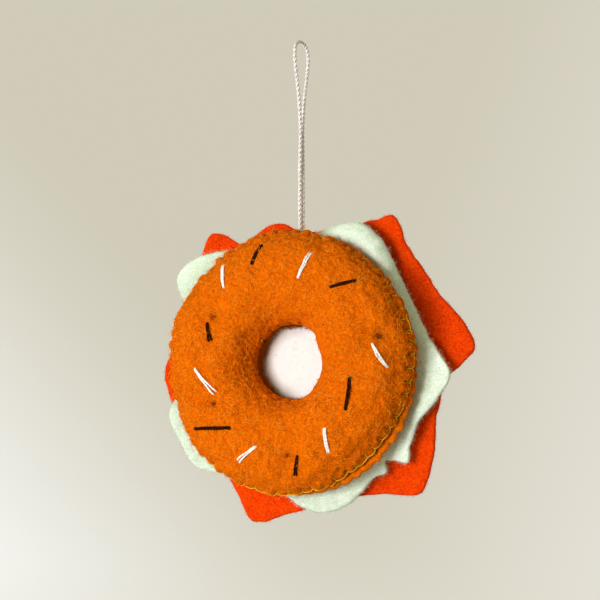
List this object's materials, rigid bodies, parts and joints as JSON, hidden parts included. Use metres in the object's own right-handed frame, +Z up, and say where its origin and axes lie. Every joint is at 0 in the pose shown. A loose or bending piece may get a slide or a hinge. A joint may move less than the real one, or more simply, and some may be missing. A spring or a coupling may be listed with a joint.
{
  "type": "hanging ornament",
  "caption": "Stuffed felt ornament shaped like a filled ring roll with stitched seeds, wavy felt fillings and a hanging cord loop.",
  "frame": {"origin": "inside top of the hanging cord loop, where it rests on a branch or hook", "axes": "+Z up, the seeded face looks along -Y, the felts lie parallel to XZ"},
  "size_m": [0.1155, 0.0356, 0.1662],
  "materials": {
    "crust_felt": "matte",
    "crumb_felt": "matte",
    "stuffing": "matte",
    "cream_felt": "matte",
    "lettuce_felt": "matte",
    "salmon_felt": "matte",
    "gold_thread": "satin",
    "white_thread": "satin",
    "black_thread": "satin",
    "white_cord": "matte"
  },
  "bodies": {
    "loop": {"hanging_cord": "white_cord"},
    "neck": {"cord_neck": "white_cord"},
    "ornament": {"cord_tail": "white_cord", "front_crust": "crust_felt", "front_crumb": "crumb_felt", "front_stuffing": "stuffing", "front_rim_thread": "gold_thread", "front_hole_thread": "gold_thread", "cream_cheese": "cream_felt", "lettuce": "lettuce_felt", "salmon": "salmon_felt", "back_crumb": "crumb_felt", "back_stuffing": "stuffing", "back_crust": "crust_felt", "back_rim_thread": "gold_thread", "back_hole_thread": "gold_thread", "white_seed_1": "white_thread", "white_seed_2": "white_thread", "white_seed_3": "white_thread", "white_seed_4": "white_thread", "white_seed_5": "white_thread", "white_seed_6": "white_thread", "black_seed_1": "black_thread", "black_seed_2": "black_thread", "black_seed_3": "black_thread", "black_seed_4": "black_thread", "black_seed_5": "black_thread", "black_seed_6": "black_thread", "tack_thread_1": "gold_thread", "tack_thread_2": "gold_thread", "tack_thread_3": "gold_thread", "tack_thread_4": "gold_thread"}
  },
  "joints": [
    {"name": "cord_twist", "type": "hinge", "parent": "loop", "child": "neck", "pos_m": [0, 0, -0.059], "axis": [0, 0, 1], "range_deg": [-180, 180]},
    {"name": "cord_swing", "type": "hinge", "parent": "neck", "child": "ornament", "pos_m": [0, 0, -0.065], "axis": [1, 0, 0], "range_deg": [-60, 60]}
  ]
}
